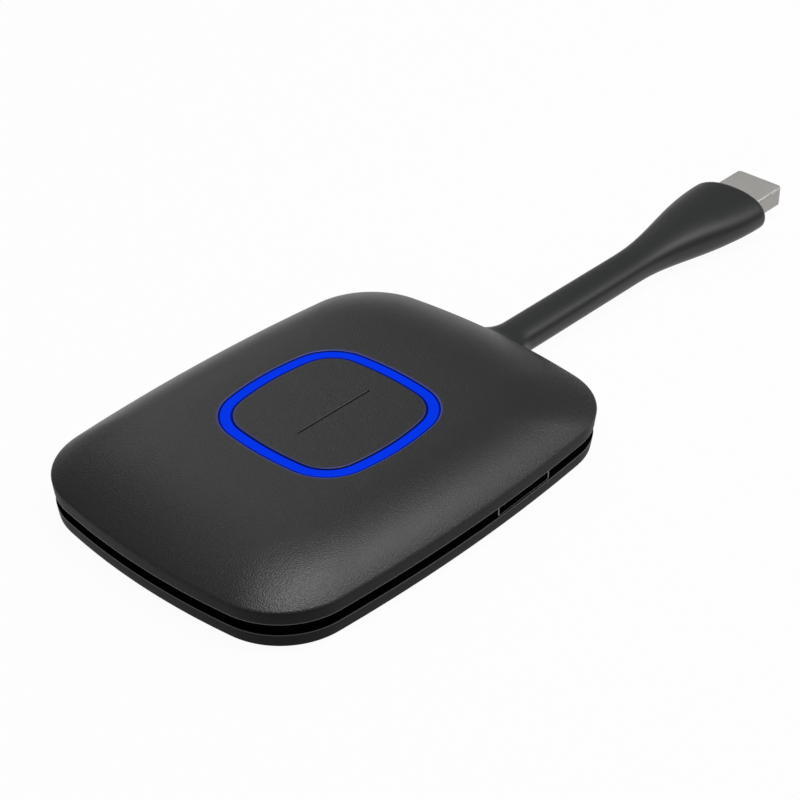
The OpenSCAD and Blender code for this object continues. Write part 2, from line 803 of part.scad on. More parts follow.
function wire_ring(i) =
    let (n = len(wire_path) - 1, p = wire_path[i],
        before = unit(i > 0 ? p - wire_path[i - 1] : wire_path[1] - p),
        after = unit(i < n ? wire_path[i + 1] - p : p - wire_path[n - 1]),
        t = unit(before + after), reach = wire_r / (t * before))
    [for (a = [0:45:359]) [wire_r * cos(a), p.x + t.y * reach * sin(a), p.y - t.x * reach * sin(a)]];

module inner_wires() {
    color([0.6, 0.1, 0.1]) for (k = [-1.5:1:1.5])
        translate([k * wire_pitch, 0, 0]) loft([for (i = [0:len(wire_path) - 1]) wire_ring(i)]);
}

// Grip of the plug: it grows out of the cable in a soft wave to a wide flat end
grip_end = tip_y - plug_out;
grip_start = grip_end - grip_l;
grip_wave = grip_l - grip_end_r;
grip_rise_share = 0.68;
grip_steps = 12;
end_steps = 4;
end_flat_share = 0.2;

function ease(s) = (1 - cos(180 * min(max(s, 0), 1))) / 2;
function grip_hw(y) = cable_half_w + skin + (grip_w / 2 - cable_half_w - skin)
    * ease((y - grip_start) / grip_wave);
function grip_hh(y) = cable_half_h + skin + (grip_h / 2 - cable_half_h - skin)
    * ease((y - grip_start) / (grip_rise_share * grip_wave));

module plug_grip() {
    color([0.17, 0.17, 0.17]) difference() {
        loft(concat(
            [for (i = [0:grip_steps]) let (y = grip_start + grip_wave * i / grip_steps)
                station(y, grip_hw(y), grip_hh(y), grip_sides)],
            [for (i = [1:end_steps]) let (a = 90 * i / end_steps, in = grip_end_r * (1 - cos(a)))
                station(grip_end - grip_end_r * (1 - sin(a)), grip_w / 2 - in,
                    grip_h / 2 - end_flat_share * in, grip_sides)]));
        cable_bore(grip_start - cut, crimp_y + fit);
        block(0, tip_y / 2 + shell_back / 2 - fit, z_cable - plug_h / 2 - fit, plug_w + 2 * fit,
            tip_y - shell_back, plug_h + 2 * fit);
    }
}

crimp_y = cable_route[len(cable_route) - 1].y;
shell_back = grip_end - plug_in;
shell_bend_r = 0.6;

module plug_section(inset) {
    rounded_rect(plug_w - 2 * inset, plug_h - 2 * inset, shell_bend_r - inset);
}

// Extrusion that runs along Y from a given place, drawn with X across and Z up
module along(y, length) {
    translate([0, y + length, z_cable]) rotate([90, 0, 0]) linear_extrude(length) children();
}

module plug_shell() {
    color([0.63, 0.62, 0.61]) difference() {
        along(shell_back, tip_y - shell_back) plug_section(0);
        along(shell_back + plug_t, tip_y - shell_back) plug_section(plug_t);
    }
}

blade_w = 10.8;
blade_t = 1.85;
blade_back = 0.4;
contact_w = 1;
contact_t = 0.12;
contact_l = 7.4;
contact_pitch = 2.3;
z_blade = z_cable - plug_h / 2 + plug_t;

module plug_tongue() {
    color([0.9, 0.9, 0.88])
        block(0, (shell_back + plug_t + tip_y - blade_back) / 2, z_blade, blade_w,
            tip_y - blade_back - shell_back - plug_t, blade_t);
}

module plug_contacts() {
    color([0.85, 0.68, 0.3]) for (k = [-1.5:1:1.5])
        block(k * contact_pitch, tip_y - 3 * blade_back - contact_l / 2, z_blade + blade_t, contact_w,
            contact_l, contact_t);
}

top_cover();
light_ring();
push_button();
light_guide();
light_baffle();
return_collar();
tact_switch();
switch_plunger();
main_board();
processor();
memory_chips();
crystal();
power_chips();
power_inductor();
capacitors();
radio_module();
antennas();
thermal_pad();
heat_spreader();
led_set();
cable_header();
inner_wires();
micro_usb_port();
port_tongue();
port_bezel();
mid_frame();
base_cover();
feet();
case_screws();
board_screws();
cable_clamp();
clamp_screws();
cable_boot();
cable();
plug_grip();
plug_shell();
plug_tongue();
plug_contacts();
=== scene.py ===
"""A casting device: a soft-touch puck with a lit ring round its button, and a short cable with its plug.

Sizes are in millimetres; add_mesh turns them into metres. Z is up and the plug points along Y.
"""

from math import atan2, cos, hypot, pi, radians, sin, sqrt

import bpy
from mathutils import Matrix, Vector


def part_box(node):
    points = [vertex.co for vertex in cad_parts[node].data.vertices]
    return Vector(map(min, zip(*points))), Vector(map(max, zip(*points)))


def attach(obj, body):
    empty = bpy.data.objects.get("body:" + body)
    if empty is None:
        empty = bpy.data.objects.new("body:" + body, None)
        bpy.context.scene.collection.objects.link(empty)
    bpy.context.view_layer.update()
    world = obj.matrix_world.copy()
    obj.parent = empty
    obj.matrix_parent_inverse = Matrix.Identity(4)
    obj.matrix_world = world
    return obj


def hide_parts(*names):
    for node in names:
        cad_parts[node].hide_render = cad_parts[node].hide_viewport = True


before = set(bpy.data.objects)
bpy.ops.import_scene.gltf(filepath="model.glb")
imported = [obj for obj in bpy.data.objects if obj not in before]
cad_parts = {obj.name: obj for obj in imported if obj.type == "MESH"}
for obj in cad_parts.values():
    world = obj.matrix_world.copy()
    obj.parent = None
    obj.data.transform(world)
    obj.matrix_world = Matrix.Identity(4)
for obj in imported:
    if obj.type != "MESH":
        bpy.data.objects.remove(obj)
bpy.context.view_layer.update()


# Camera
# It looks at the device from the front right, a third of the way up, through a long lens close by.
# It aims just behind the middle of the body, so that body and plug fill the picture.
MM = 0.001
view_azimuth = radians(42.63)
view_elevation = radians(34.374)
view_distance = 390.1
focal_length = 91.95
sensor_w = 36
aim = Vector((-1.09, 20.14, 5.4)) * MM
towards_camera = Vector((
    sin(view_azimuth) * cos(view_elevation),
    -cos(view_azimuth) * cos(view_elevation),
    sin(view_elevation),
))
camera = bpy.data.objects.new("camera", bpy.data.cameras.new("camera"))
camera.data.sensor_width = sensor_w
camera.data.lens = focal_length
camera.data.clip_start = 10 * MM
camera.location = aim + towards_camera * view_distance * MM
camera.rotation_euler = towards_camera.to_track_quat("Z", "Y").to_euler()
bpy.context.scene.collection.objects.link(camera)
bpy.context.scene.camera = camera
bpy.context.scene.view_settings.view_transform = "Standard"


# Studio light
# A dim white room with five softboxes, all far off. The two overhead and the one behind at the right draw
# the soft highlights on the crown and the cable. The low ones behind and at the left lift the far edges.
room_level = 0.18


def softbox(name, place, size, watts, aim_at=(0, 20, 0)):
    lamp = bpy.data.lights.new(name, "AREA")
    lamp.shape = "RECTANGLE"
    lamp.size, lamp.size_y = (side * MM for side in size)
    lamp.energy = watts
    stand = bpy.data.objects.new(name, lamp)
    stand.location = Vector(place) * MM
    stand.rotation_euler = (Vector(place) - Vector(aim_at)).to_track_quat("Z", "Y").to_euler()
    bpy.context.scene.collection.objects.link(stand)


softbox("overhead_softbox", (0, 20, 1100), (240, 240), 5.2)
softbox("overhead_fill", (80, 270, 1070), (360, 300), 1.8)
softbox("right_softbox", (435, 455, 910), (435, 360), 4.1)
softbox("back_strip", (455, 810, 615), (430, 360), 1.0)
softbox("left_strip", (-790, 475, 615), (430, 360), 0.8)

room = bpy.data.worlds.new("room")
bpy.context.scene.world = room
room.use_nodes = True
room_light = room.node_tree.nodes["Background"]
room_light.inputs["Color"].default_value = (1, 1, 1, 1)
room_light.inputs["Strength"].default_value = room_level


# Floor
# A large white sheet of paper that the device lies on. The camera, gloss and clear parts see it as white,
# and it keeps a trace of the device's soft shadow.
def new_material(name, **sockets):
    """Principled material with the given values on the shader's own sockets."""
    material = bpy.data.materials.new(name)
    material.use_nodes = True
    shader = material.node_tree.nodes["Principled BSDF"]
    for socket, value in sockets.items():
        shader.inputs[socket.replace("_", " ")].default_value = value
    return material, material.node_tree, shader


def add_node(tree, kind, **settings):
    node = tree.nodes.new("ShaderNode" + kind)
    for setting, value in settings.items():
        setattr(node, setting, value)
    return node


def wire(tree, *pairs):
    for start, end in pairs:
        tree.links.new(start, end)


def add_mesh(name, vertices, faces, crease=30):
    """Mesh from points in millimetres, smooth but for edges sharper than the crease angle."""
    mesh = bpy.data.meshes.new(name)
    mesh.from_pydata([Vector(v) * MM for v in vertices], [], faces)
    mesh.validate()
    mesh.set_sharp_from_angle(angle=radians(crease))
    piece = bpy.data.objects.new(name, mesh)
    bpy.context.scene.collection.objects.link(piece)
    return piece


floor_half = 30000
paper_glow = 0.96
paper_corners = [(x * floor_half, y * floor_half, 0) for x, y in ((-1, -1), (1, -1), (1, 1), (-1, 1))]
floor = add_mesh("floor", paper_corners, [(0, 1, 2, 3)])
paper, tree, shader = new_material("white_paper", Base_Color=(0.6, 0.6, 0.6, 1), Roughness=0.9)
shader.inputs["Specular IOR Level"].default_value = 0
glow = add_node(tree, "Emission")
glow.inputs["Color"].default_value = (1, 1, 1, 1)
rays = add_node(tree, "LightPath")
seen = add_node(tree, "Math", operation="MAXIMUM")
seen_or_through = add_node(tree, "Math", operation="MAXIMUM")
share = add_node(tree, "Math", operation="MULTIPLY")
share.inputs[1].default_value = paper_glow
mix = add_node(tree, "MixShader")
wire(
    tree,
    (rays.outputs["Is Camera Ray"], seen.inputs[0]),
    (rays.outputs["Is Glossy Ray"], seen.inputs[1]),
    (seen.outputs[0], seen_or_through.inputs[0]),
    (rays.outputs["Is Transmission Ray"], seen_or_through.inputs[1]),
    (seen_or_through.outputs[0], share.inputs[0]),
    (share.outputs[0], mix.inputs[0]),
    (shader.outputs[0], mix.inputs[1]),
    (glow.outputs[0], mix.inputs[2]),
    (mix.outputs[0], tree.nodes["Material Output"].inputs["Surface"]),
)
floor.data.materials.append(paper)


# Base
# The lower shell is a shallow dish, moulded in charcoal plastic with a fine spark-eroded grain. Its side
# draws in a little towards the bottom. Sleeves take the case screws, posts carry the board and two more
# the cable clamp.
def corners(node):
    """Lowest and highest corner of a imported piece, in millimetres."""
    low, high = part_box(node)
    return low / MM, high / MM


lid_high = corners("top_cover")[1]
base_low = corners("base_cover")[0]
feet_high = corners("feet")[1]
band_flare = 0.3
side_bow_r, end_bow_r, body_corner_r = 362, 144, 15
body_shape = (lid_high.x - band_flare, lid_high.y - band_flare, side_bow_r, end_bow_r, body_corner_r)
side_steps = 96
corner_steps = 32
end_steps = 48


def corner_of(shape):
    """Middle of a rounded corner that touches both bowed sides."""
    half_w, half_l, side_r, end_r, corner_r = shape
    across, up = side_r - half_w, half_l - end_r
    near, far = side_r - corner_r, end_r - corner_r
    gap = hypot(across, up)
    along = (near * near - far * far + gap * gap) / (2 * gap)
    off = sqrt(near * near - along * along)
    return half_w - side_r + (across * along - up * off) / gap, (up * along + across * off) / gap


def arc(x, y, r, start, end, steps):
    turns = [start + (end - start) * i / steps for i in range(steps)]
    return [(x + r * cos(t), y + r * sin(t)) for t in turns]


def outline(shape, inset):
    """Points round a rounded rectangle with bowed sides, some way inside it."""
    half_w, half_l, side_r, end_r, corner_r = shape
    x, y = corner_of(shape)
    low_turn, high_turn = atan2(y, x - half_w + side_r), atan2(y - half_l + end_r, x)
    quarter = arc(half_w - side_r, 0, side_r - inset, 0, low_turn, side_steps)
    quarter += arc(x, y, corner_r - inset, low_turn, high_turn, corner_steps)
    quarter += arc(0, half_l - end_r, end_r - inset, high_turn, pi / 2, end_steps) + [(0, half_l - inset)]
    back_left = [(-px, py) for px, py in quarter[-2::-1]]
    front_left = [(-px, -py) for px, py in quarter[1:]]
    front_right = [(px, -py) for px, py in quarter[-2:0:-1]]
    return quarter + back_left + front_left + front_right


def lift(points, z):
    return [Vector((x, y, z)) for x, y in points]


def lean(start, corner, end, steps=5):
    """Rings of a rounded edge that runs from one ring to another and leans on the corner between them."""
    shares = [i / steps for i in range(steps + 1)]
    return [
        [a * (1 - s) ** 2 + c * 2 * s * (1 - s) + b * s * s for a, c, b in zip(start, corner, end)]
        for s in shares
    ]


def skin(name, rings, looped=False, crease=30):
    """Mesh over rings of points, closed with a cap at each end or looped back to its first ring."""
    n, m = len(rings[0]), len(rings)
    faces = []
    for j in range(m if looped else m - 1):
        a, b = j * n, (j + 1) % m * n
        faces += [(a + i, a + (i + 1) % n, b + (i + 1) % n, b + i) for i in range(n)]
    if not looped:
        faces += [tuple(range(n - 1, -1, -1)), tuple(range((m - 1) * n, m * n))]
    return add_mesh(name, [p for ring in rings for p in ring], faces, crease)


def circle(x, y, r, z, steps=48):
    turns = [2 * pi * i / steps for i in range(steps)]
    return [Vector((x + r * cos(t), y + r * sin(t), z)) for t in turns]


def rod(x, y, r, z0, z1):
    return skin("rod", [circle(x, y, r, z0), circle(x, y, r, z1)])


def join(pieces, name="tools"):
    """One object out of several."""
    vertices, faces = [], []
    for piece in pieces:
        start = len(vertices)
        vertices += [v.co / MM for v in piece.data.vertices]
        faces += [tuple(start + i for i in face.vertices) for face in piece.data.polygons]
        bpy.data.objects.remove(piece)
    return add_mesh(name, vertices, faces)


def work(piece, operation, tools, crease=30):
    """Welds the tools to the piece (UNION), carves them out of it (DIFFERENCE) or trims it to them."""
    tool = join(tools)
    change = piece.modifiers.new("work", "BOOLEAN")
    change.operation = operation
    change.solver = "EXACT"
    change.object = tool
    depsgraph = bpy.context.evaluated_depsgraph_get()
    mesh = bpy.data.meshes.new_from_object(piece.evaluated_get(depsgraph))
    piece.modifiers.clear()
    piece.data = mesh
    mesh.set_sharp_from_angle(angle=radians(crease))
    bpy.data.objects.remove(tool)


def four_corners(x, y):
    return [(sx * x, sy * y) for sx in (-1, 1) for sy in (-1, 1)]


base_h = 2.9
base_floor_t = 1.6
z_base = base_low.z
z_rim = z_base + base_h
z_floor = z_base + base_floor_t
base_inset = 0.1
base_draft = 0.4
low_draft_share, high_draft_share = 0.15, 0.08
base_round = 0.45
rim_round = 0.22
wall_inset = 1.2
flat_rim = 0.5
overrun = 0.5
fit = 0.05

foot_r = 4.5
screw_x, screw_y = feet_high.x - foot_r + fit, feet_high.y - foot_r + fit
z_recess = feet_high.z
sleeve_r = 3.2
head_l = 1.3
head_seat_t = 1.4
z_sleeve = z_recess + fit + head_l + head_seat_t
head_r = 1.85
screw_hole_r = 1.07
post_r = 2.4
pilot_r = 0.8
post_x, post_y = 20.6, 24.1
z_board = corners("main_board")[0].z
clamp_low, clamp_high = corners("cable_clamp")
clamp_post_r = 2
clamp_x, clamp_y = clamp_high.x - clamp_post_r, (clamp_low.y + clamp_high.y) / 2
cable_z = 4.5
oval_power = 2.4


def oval(y, half_w, half_h, power=oval_power, steps=96):
    """Ring square to Y, a flat oval with full sides, round the cable's middle line."""
    turns = [2 * pi * i / steps for i in range(steps)]
    return [
        Vector((
            half_w * abs(cos(t)) ** (2 / power) * (1 if cos(t) > 0 else -1),
            y,
            cable_z + half_h * abs(sin(t)) ** (2 / power) * (1 if sin(t) > 0 else -1),
        ))
        for t in turns
    ]


def block(x0, x1, y0, y1, z0, z1):
    rings = [[Vector((x, y, z)) for x, y in ((x0, y0), (x1, y0), (x1, y1), (x0, y1))] for z in (z0, z1)]
    return skin("block", rings)


neck_half_w = 5.5 + fit
neck_half_h = 3.2 + fit
cable_low, cable_high = corners("cable")
boot_low, boot_high = corners("cable_boot")
trough_floor = cable_low.z - fit
anchor_back = boot_low.y
anchor_l = 2.5
anchor_half_h = 3.3
half_l = body_shape[1]

foot_inset = base_inset + base_draft
base_rings = [lift(outline(body_shape, foot_inset + base_round + flat_rim), z_base)]
base_rings += lean(
    lift(outline(body_shape, foot_inset + base_round), z_base),
    lift(outline(body_shape, foot_inset), z_base),
    lift(outline(body_shape, foot_inset - base_draft * low_draft_share), z_base + base_round),
)
base_rings += lean(
    lift(outline(body_shape, base_inset + base_draft * high_draft_share), z_rim - rim_round),
    lift(outline(body_shape, base_inset), z_rim),
    lift(outline(body_shape, base_inset + rim_round), z_rim),
)
base_rings += [
    lift(outline(body_shape, wall_inset), z_rim),
    lift(outline(body_shape, wall_inset), z_floor),
    lift(outline(body_shape, wall_inset + flat_rim), z_floor),
]
base = skin("base_moulding", base_rings)
raised = [rod(x, y, sleeve_r, z_base + overrun, z_sleeve) for x, y in four_corners(screw_x, screw_y)]
raised += [rod(x, y, post_r, z_base + overrun, z_board) for x, y in four_corners(post_x, post_y)]
raised += [rod(s * clamp_x, clamp_y, clamp_post_r, z_base + overrun, clamp_low.z) for s in (-1, 1)]
work(base, "UNION", raised)
for x, y in four_corners(screw_x, screw_y):
    work(base, "DIFFERENCE", [rod(x, y, foot_r, z_base - overrun, z_recess)])
    work(base, "DIFFERENCE", [rod(x, y, head_r, z_base - overrun, z_sleeve - head_seat_t)])
    work(base, "DIFFERENCE", [rod(x, y, screw_hole_r, z_base, z_sleeve + overrun)])
pilots = [rod(x, y, pilot_r, z_floor, z_board + overrun) for x, y in four_corners(post_x, post_y)]
pilots += [rod(s * clamp_x, clamp_y, pilot_r, z_floor, clamp_low.z + overrun) for s in (-1, 1)]
work(base, "DIFFERENCE", pilots)
trough_half_w, anchor_half_w = cable_high.x + fit, boot_high.x + fit
work(base, "DIFFERENCE", [
    block(-trough_half_w, trough_half_w, cable_low.y - fit, half_l, trough_floor, cable_z)
])
work(base, "DIFFERENCE", [block(
    -anchor_half_w, anchor_half_w, anchor_back - fit, anchor_back + anchor_l + fit,
    cable_z - anchor_half_h - fit, cable_z + overrun,
)])


neck_inwards, neck_outwards = 3, 1


def neck_cut():
    """Tool for the oval hole in the rear wall that the boot's neck runs through."""
    ends = (half_l - neck_inwards, half_l + neck_outwards)
    return skin("neck", [oval(y, neck_half_w, neck_half_h) for y in ends])


work(base, "DIFFERENCE", [neck_cut()])


def noise_value(tree, place, size, detail=2.0):
    """Noise from 0 to 1 whose lumps are about that many millimetres apart."""
    grain = add_node(tree, "TexNoise")
    grain.inputs["Scale"].default_value = 1 / (size * MM)
    grain.inputs["Detail"].default_value = detail
    wire(tree, (place, grain.inputs["Vector"]))
    return grain.outputs["Fac"]


def new_group(name, inputs, outputs):
    """Shader node group with named inputs, each with its start value, and named outputs."""
    group = bpy.data.node_groups.new(name, "ShaderNodeTree")
    for label, start in inputs.items():
        kind = "NodeSocketColor" if isinstance(start, tuple) else "NodeSocketFloat"
        group.interface.new_socket(label, in_out="INPUT", socket_type=kind).default_value = start
    for label, kind in outputs.items():
        group.interface.new_socket(label, in_out="OUTPUT", socket_type="NodeSocket" + kind)
    return group, group.nodes.new("NodeGroupInput").outputs, group.nodes.new("NodeGroupOutput").inputs


def patchy_gloss(group, place, given, made, size):
    """Lets a group's roughness wander round its given value, in patches of about that many millimetres."""
    patches = noise_value(group, place.outputs["Object"], size)
    off_middle = add_node(group, "Math", operation="SUBTRACT")
    off_middle.inputs[1].default_value = 0.5
    gloss = add_node(group, "Math", operation="MULTIPLY_ADD")
    wire(
        group,
        (patches, off_middle.inputs[0]),
        (off_middle.outputs[0], gloss.inputs[0]),
        (given["Patchiness"], gloss.inputs[1]),
        (given["Roughness"], gloss.inputs[2]),
        (gloss.outputs[0], made["Roughness"]),
    )


# Fine spark-eroded grain of moulded parts: a speckle in tone, soft patches in gloss and a shallow relief.
noise_low, noise_high = 0.3, 0.7
grain_patch = 9
grain_depth = 0.08
moulded_grain, given, made = new_group(
    "moulded_grain",
    {"Colour": (0.02, 0.02, 0.02, 1), "Grain Size": 0.3, "Speckle": 0.1, "Relief": 0.2, "Roughness": 0.5,
     "Patchiness": 0.05},
    {"Colour": "Color", "Roughness": "Float", "Normal": "Vector"},
)
place = add_node(moulded_grain, "TexCoord")
per_grain = add_node(moulded_grain, "Math", operation="DIVIDE")
per_grain.inputs[0].default_value = 1 / MM
spread = add_node(moulded_grain, "VectorMath", operation="SCALE")
grain = add_node(moulded_grain, "TexNoise")
grain.inputs["Scale"].default_value = 1
grain.inputs["Detail"].default_value = 2
lighter = add_node(moulded_grain, "Math", operation="ADD")
lighter.inputs[0].default_value = 1
darker = add_node(moulded_grain, "Math", operation="SUBTRACT")
darker.inputs[0].default_value = 1
tone = add_node(moulded_grain, "MapRange")
tone.inputs["From Min"].default_value = noise_low
tone.inputs["From Max"].default_value = noise_high
tint = add_node(moulded_grain, "HueSaturation")
patchy_gloss(moulded_grain, place, given, made, grain_patch)
relief = add_node(moulded_grain, "Bump")
relief.inputs["Distance"].default_value = grain_depth * MM
wire(
    moulded_grain,
    (given["Grain Size"], per_grain.inputs[1]),
    (place.outputs["Object"], spread.inputs[0]),
    (per_grain.outputs[0], spread.inputs["Scale"]),
    (spread.outputs[0], grain.inputs["Vector"]),
    (given["Speckle"], lighter.inputs[1]),
    (given["Speckle"], darker.inputs[1]),
    (grain.outputs["Fac"], tone.inputs["Value"]),
    (darker.outputs[0], tone.inputs["To Min"]),
    (lighter.outputs[0], tone.inputs["To Max"]),
    (tone.outputs[0], tint.inputs["Value"]),
    (given["Colour"], tint.inputs["Color"]),
    (tint.outputs[0], made["Colour"]),
    (given["Relief"], relief.inputs["Strength"]),
    (grain.outputs["Fac"], relief.inputs["Height"]),
    (relief.outputs[0], made["Normal"]),
)


def use_group(tree, shader, group, values):
    """Places a group in a material with its own values and wires its outputs to the shader."""
    effect = add_node(tree, "Group", node_tree=group)
    for label, value in values.items():
        effect.inputs[label].default_value = value
    for socket, output in (("Base Color", "Colour"), ("Roughness", "Roughness"), ("Normal", "Normal")):
        wire(tree, (effect.outputs[output], shader.inputs[socket]))


def moulding(name, colour, size=0.3, speckle=0.1, relief=0.2, roughness=0.5, patchiness=0.05, **sockets):
    """Moulded plastic or rubber with its grain."""
    material, tree, shader = new_material(name, **sockets)
    use_group(tree, shader, moulded_grain, {
        "Colour": (*colour, 1), "Grain Size": size, "Speckle": speckle, "Relief": relief,
        "Roughness": roughness, "Patchiness": patchiness,
    })
    return material


def mount(piece, material, nodes, body="casing"):
    """Gives a piece its material and its body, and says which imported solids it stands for."""
    piece.data.materials.clear()
    piece.data.materials.append(material)
    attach(piece, body)
    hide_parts(*nodes)


def dress(material, *nodes):
    """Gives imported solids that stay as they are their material."""
    for node in nodes:
        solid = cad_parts[node]
        if not solid.material_slots:
            solid.data.materials.append(material)
        for place in solid.material_slots:
            place.material = material


base_plastic = moulding("charcoal_base", (0.015, 0.0152, 0.0152), relief=0.5, roughness=0.5,
                        Specular_IOR_Level=0.05)
mount(base, base_plastic, ["base_cover"])
# Near black, darker than black plastic: the frame's own black, deepened into painted shade in the groove,
# and put on shaded ledges and recesses.
black_frame_and_painted_shade = moulding("black_frame_and_painted_shade", (0.001, 0.001, 0.001), roughness=0.7, Specular_IOR_Level=0.02)
# A lighter, glossier copy of the charcoal: a painted highlight for rounded edges and chamfers.
painted_edge_highlight = moulding("painted_edge_highlight", (0.035, 0.036, 0.036), relief=0.1, roughness=0.32)
base.data.materials.append(black_frame_and_painted_shade)
base.data.materials.append(painted_edge_highlight)
# On the base's rim the upward ledge takes the near black as painted shade under the cover, and the rounded
# edge the painted highlight.
nearly_level = 0.9
rim_slack = 0.02
for face in base.data.polygons:
    if z_rim - rim_round < face.center.z / MM < z_rim + rim_slack:
        face.material_index = 1 if face.normal.z > nearly_level else 2


# Feet
# Four round pads, punched from soft black rubber sheet and glued into the base's recesses. They cover the
# case screws.
foot_round = 0.35
feet = []
for x, y in four_corners(screw_x, screw_y):
    rings = [circle(x, y, foot_r - fit, z_recess)]
    rings += lean(
        circle(x, y, foot_r - fit, foot_round),
        circle(x, y, foot_r - fit, 0),
        circle(x, y, foot_r - fit - foot_round, 0),
    )
    rings += [circle(x, y, foot_r - fit - 2 * foot_round, 0)]
    feet.append(skin("foot", rings[::-1]))
rubber = moulding("foot_rubber", (0.012, 0.012, 0.012), size=0.15, speckle=0.2, relief=0.5, roughness=0.8)
mount(join(feet, "rubber_feet"), rubber, ["feet"])


# Frame and socket
# A black frame stands in the base and closes the gap up to the cover, set back so that it makes a groove.
# The micro-USB socket sits behind it under the board's edge, and a thin satin bezel lines its opening.
# The frame takes the near black, which carries the groove's painted shade.
dress(black_frame_and_painted_shade, "mid_frame")
groove_h = 2.1
z_groove = z_rim + groove_h / 2
port_low, port_high = corners("port_bezel")
port_y = (port_low.y + port_high.y) / 2
port_half_l, port_half_h = (port_high.y - port_low.y) / 2, (port_high.z - port_low.z) / 2
port_r = 0.45
bezel_back = 0.3
bezel_end_t, bezel_t = 0.35, 0.08
bezel_lip = 0.07
bezel_root_l = 0.5
mid_wall_share = 0.5


def rounded_rectangle(half_w, half_h, r, steps=8):
    """Points round a rectangle with rounded corners, with its middle at the origin."""
    points = []
    for quarter, (sx, sy) in enumerate(((1, 1), (-1, 1), (-1, -1), (1, -1))):
        for i in range(steps + 1):
            turn = pi / 2 * (quarter + i / steps)
            points.append((sx * (half_w - r) + r * cos(turn), sy * (half_h - r) + r * sin(turn)))
    return points


def port_ring(share, behind=None):
    """Ring in the socket's opening, a share of the way through the bezel's wall, behind the bowed side."""
    inset = bezel_t * share
    points = rounded_rectangle(port_half_l - bezel_end_t * share, port_half_h - inset, port_r - inset)
    half_w, side_r = body_shape[0], body_shape[2]
    ring = []
    for along, up in points:
        y = port_y + along
        side = half_w - side_r + sqrt(side_r ** 2 - y ** 2)
        ring.append(Vector((port_low.x if behind is None else side - behind, y, z_groove + up)))
    return ring


bezel_rings = [port_ring(0)]
bezel_rings += lean(
    port_ring(0, bezel_back + bezel_lip),
    port_ring(0, bezel_back),
    port_ring(mid_wall_share, bezel_back),
)
bezel_rings += lean(
    port_ring(mid_wall_share, bezel_back),
    port_ring(1, bezel_back),
    port_ring(1, bezel_back + bezel_lip),
)
bezel_rings += [port_ring(1)]
bezel = skin("socket_bezel", bezel_rings[::-1], looped=True)
satin = moulding("bezel_satin", (0.12, 0.12, 0.12), speckle=0.05, relief=0.05, roughness=0.3)
mount(bezel, satin, ["port_bezel"])
# The bezel's inner half millimetre takes the near black: painted shade deep in the opening.
bezel.data.materials.append(black_frame_and_painted_shade)
for face in bezel.data.polygons:
    root = min(bezel.data.vertices[v].co.x for v in face.vertices) / MM
    face.material_index = int(root < port_low.x + bezel_root_l)
dress(moulding("socket_insert", (0.012, 0.012, 0.012), roughness=0.45), "port_tongue")

# Drawn and rolled metal: fine streaks along one axis that change tone, gloss and relief a little.
metal_patch = 3
streak_depth = 0.01
streak_relief = 0.2
drawn_metal, given, made = new_group(
    "drawn_metal",
    {"Colour": (0.5, 0.5, 0.5, 1), "Streak Width": 0.08, "Streak Length": 4.0, "Contrast": 0.06,
     "Roughness": 0.35, "Patchiness": 0.1},
    {"Colour": "Color", "Roughness": "Float", "Normal": "Vector"},
)
place = add_node(drawn_metal, "TexCoord")
across = add_node(drawn_metal, "Math", operation="DIVIDE")
across.inputs[0].default_value = 1 / MM
length = add_node(drawn_metal, "Math", operation="DIVIDE")
length.inputs[0].default_value = 1 / MM
scale = add_node(drawn_metal, "CombineXYZ")
spread = add_node(drawn_metal, "VectorMath", operation="MULTIPLY")
streaks = add_node(drawn_metal, "TexNoise")
streaks.inputs["Scale"].default_value = 1
streaks.inputs["Detail"].default_value = 3
centred = add_node(drawn_metal, "Math", operation="SUBTRACT")
centred.inputs[1].default_value = 0.5
tone = add_node(drawn_metal, "Math", operation="MULTIPLY_ADD")
tone.inputs[2].default_value = 1
tint = add_node(drawn_metal, "HueSaturation")
patchy_gloss(drawn_metal, place, given, made, metal_patch)
relief = add_node(drawn_metal, "Bump")
relief.inputs["Distance"].default_value = streak_depth * MM
relief.inputs["Strength"].default_value = streak_relief
wire(
    drawn_metal,
    (given["Streak Width"], across.inputs[1]),
    (given["Streak Length"], length.inputs[1]),
    (across.outputs[0], scale.inputs["X"]),
    (length.outputs[0], scale.inputs["Y"]),
    (across.outputs[0], scale.inputs["Z"]),
    (place.outputs["Object"], spread.inputs[0]),
    (scale.outputs[0], spread.inputs[1]),
    (spread.outputs[0], streaks.inputs["Vector"]),
    (streaks.outputs["Fac"], centred.inputs[0]),
    (centred.outputs[0], tone.inputs[0]),
    (given["Contrast"], tone.inputs[1]),
    (tone.outputs[0], tint.inputs["Value"]),
    (given["Colour"], tint.inputs["Color"]),
    (tint.outputs[0], made["Colour"]),
    (streaks.outputs["Fac"], relief.inputs["Height"]),
    (relief.outputs[0], made["Normal"]),
)


def metal(name, colour, width=0.08, length=4.0, contrast=0.12, roughness=0.35, patchiness=0.1, **sockets):
    """Plated or plain sheet metal with its rolling streaks along Y."""
    material, tree, shader = new_material(name, Metallic=1, **sockets)
    use_group(tree, shader, drawn_metal, {
        "Colour": (*colour, 1), "Streak Width": width, "Streak Length": length, "Contrast": contrast,
        "Roughness": roughness, "Patchiness": patchiness,
    })
    return material


dress(metal("socket_steel", (0.45, 0.44, 0.43), roughness=0.4), "micro_usb_port")


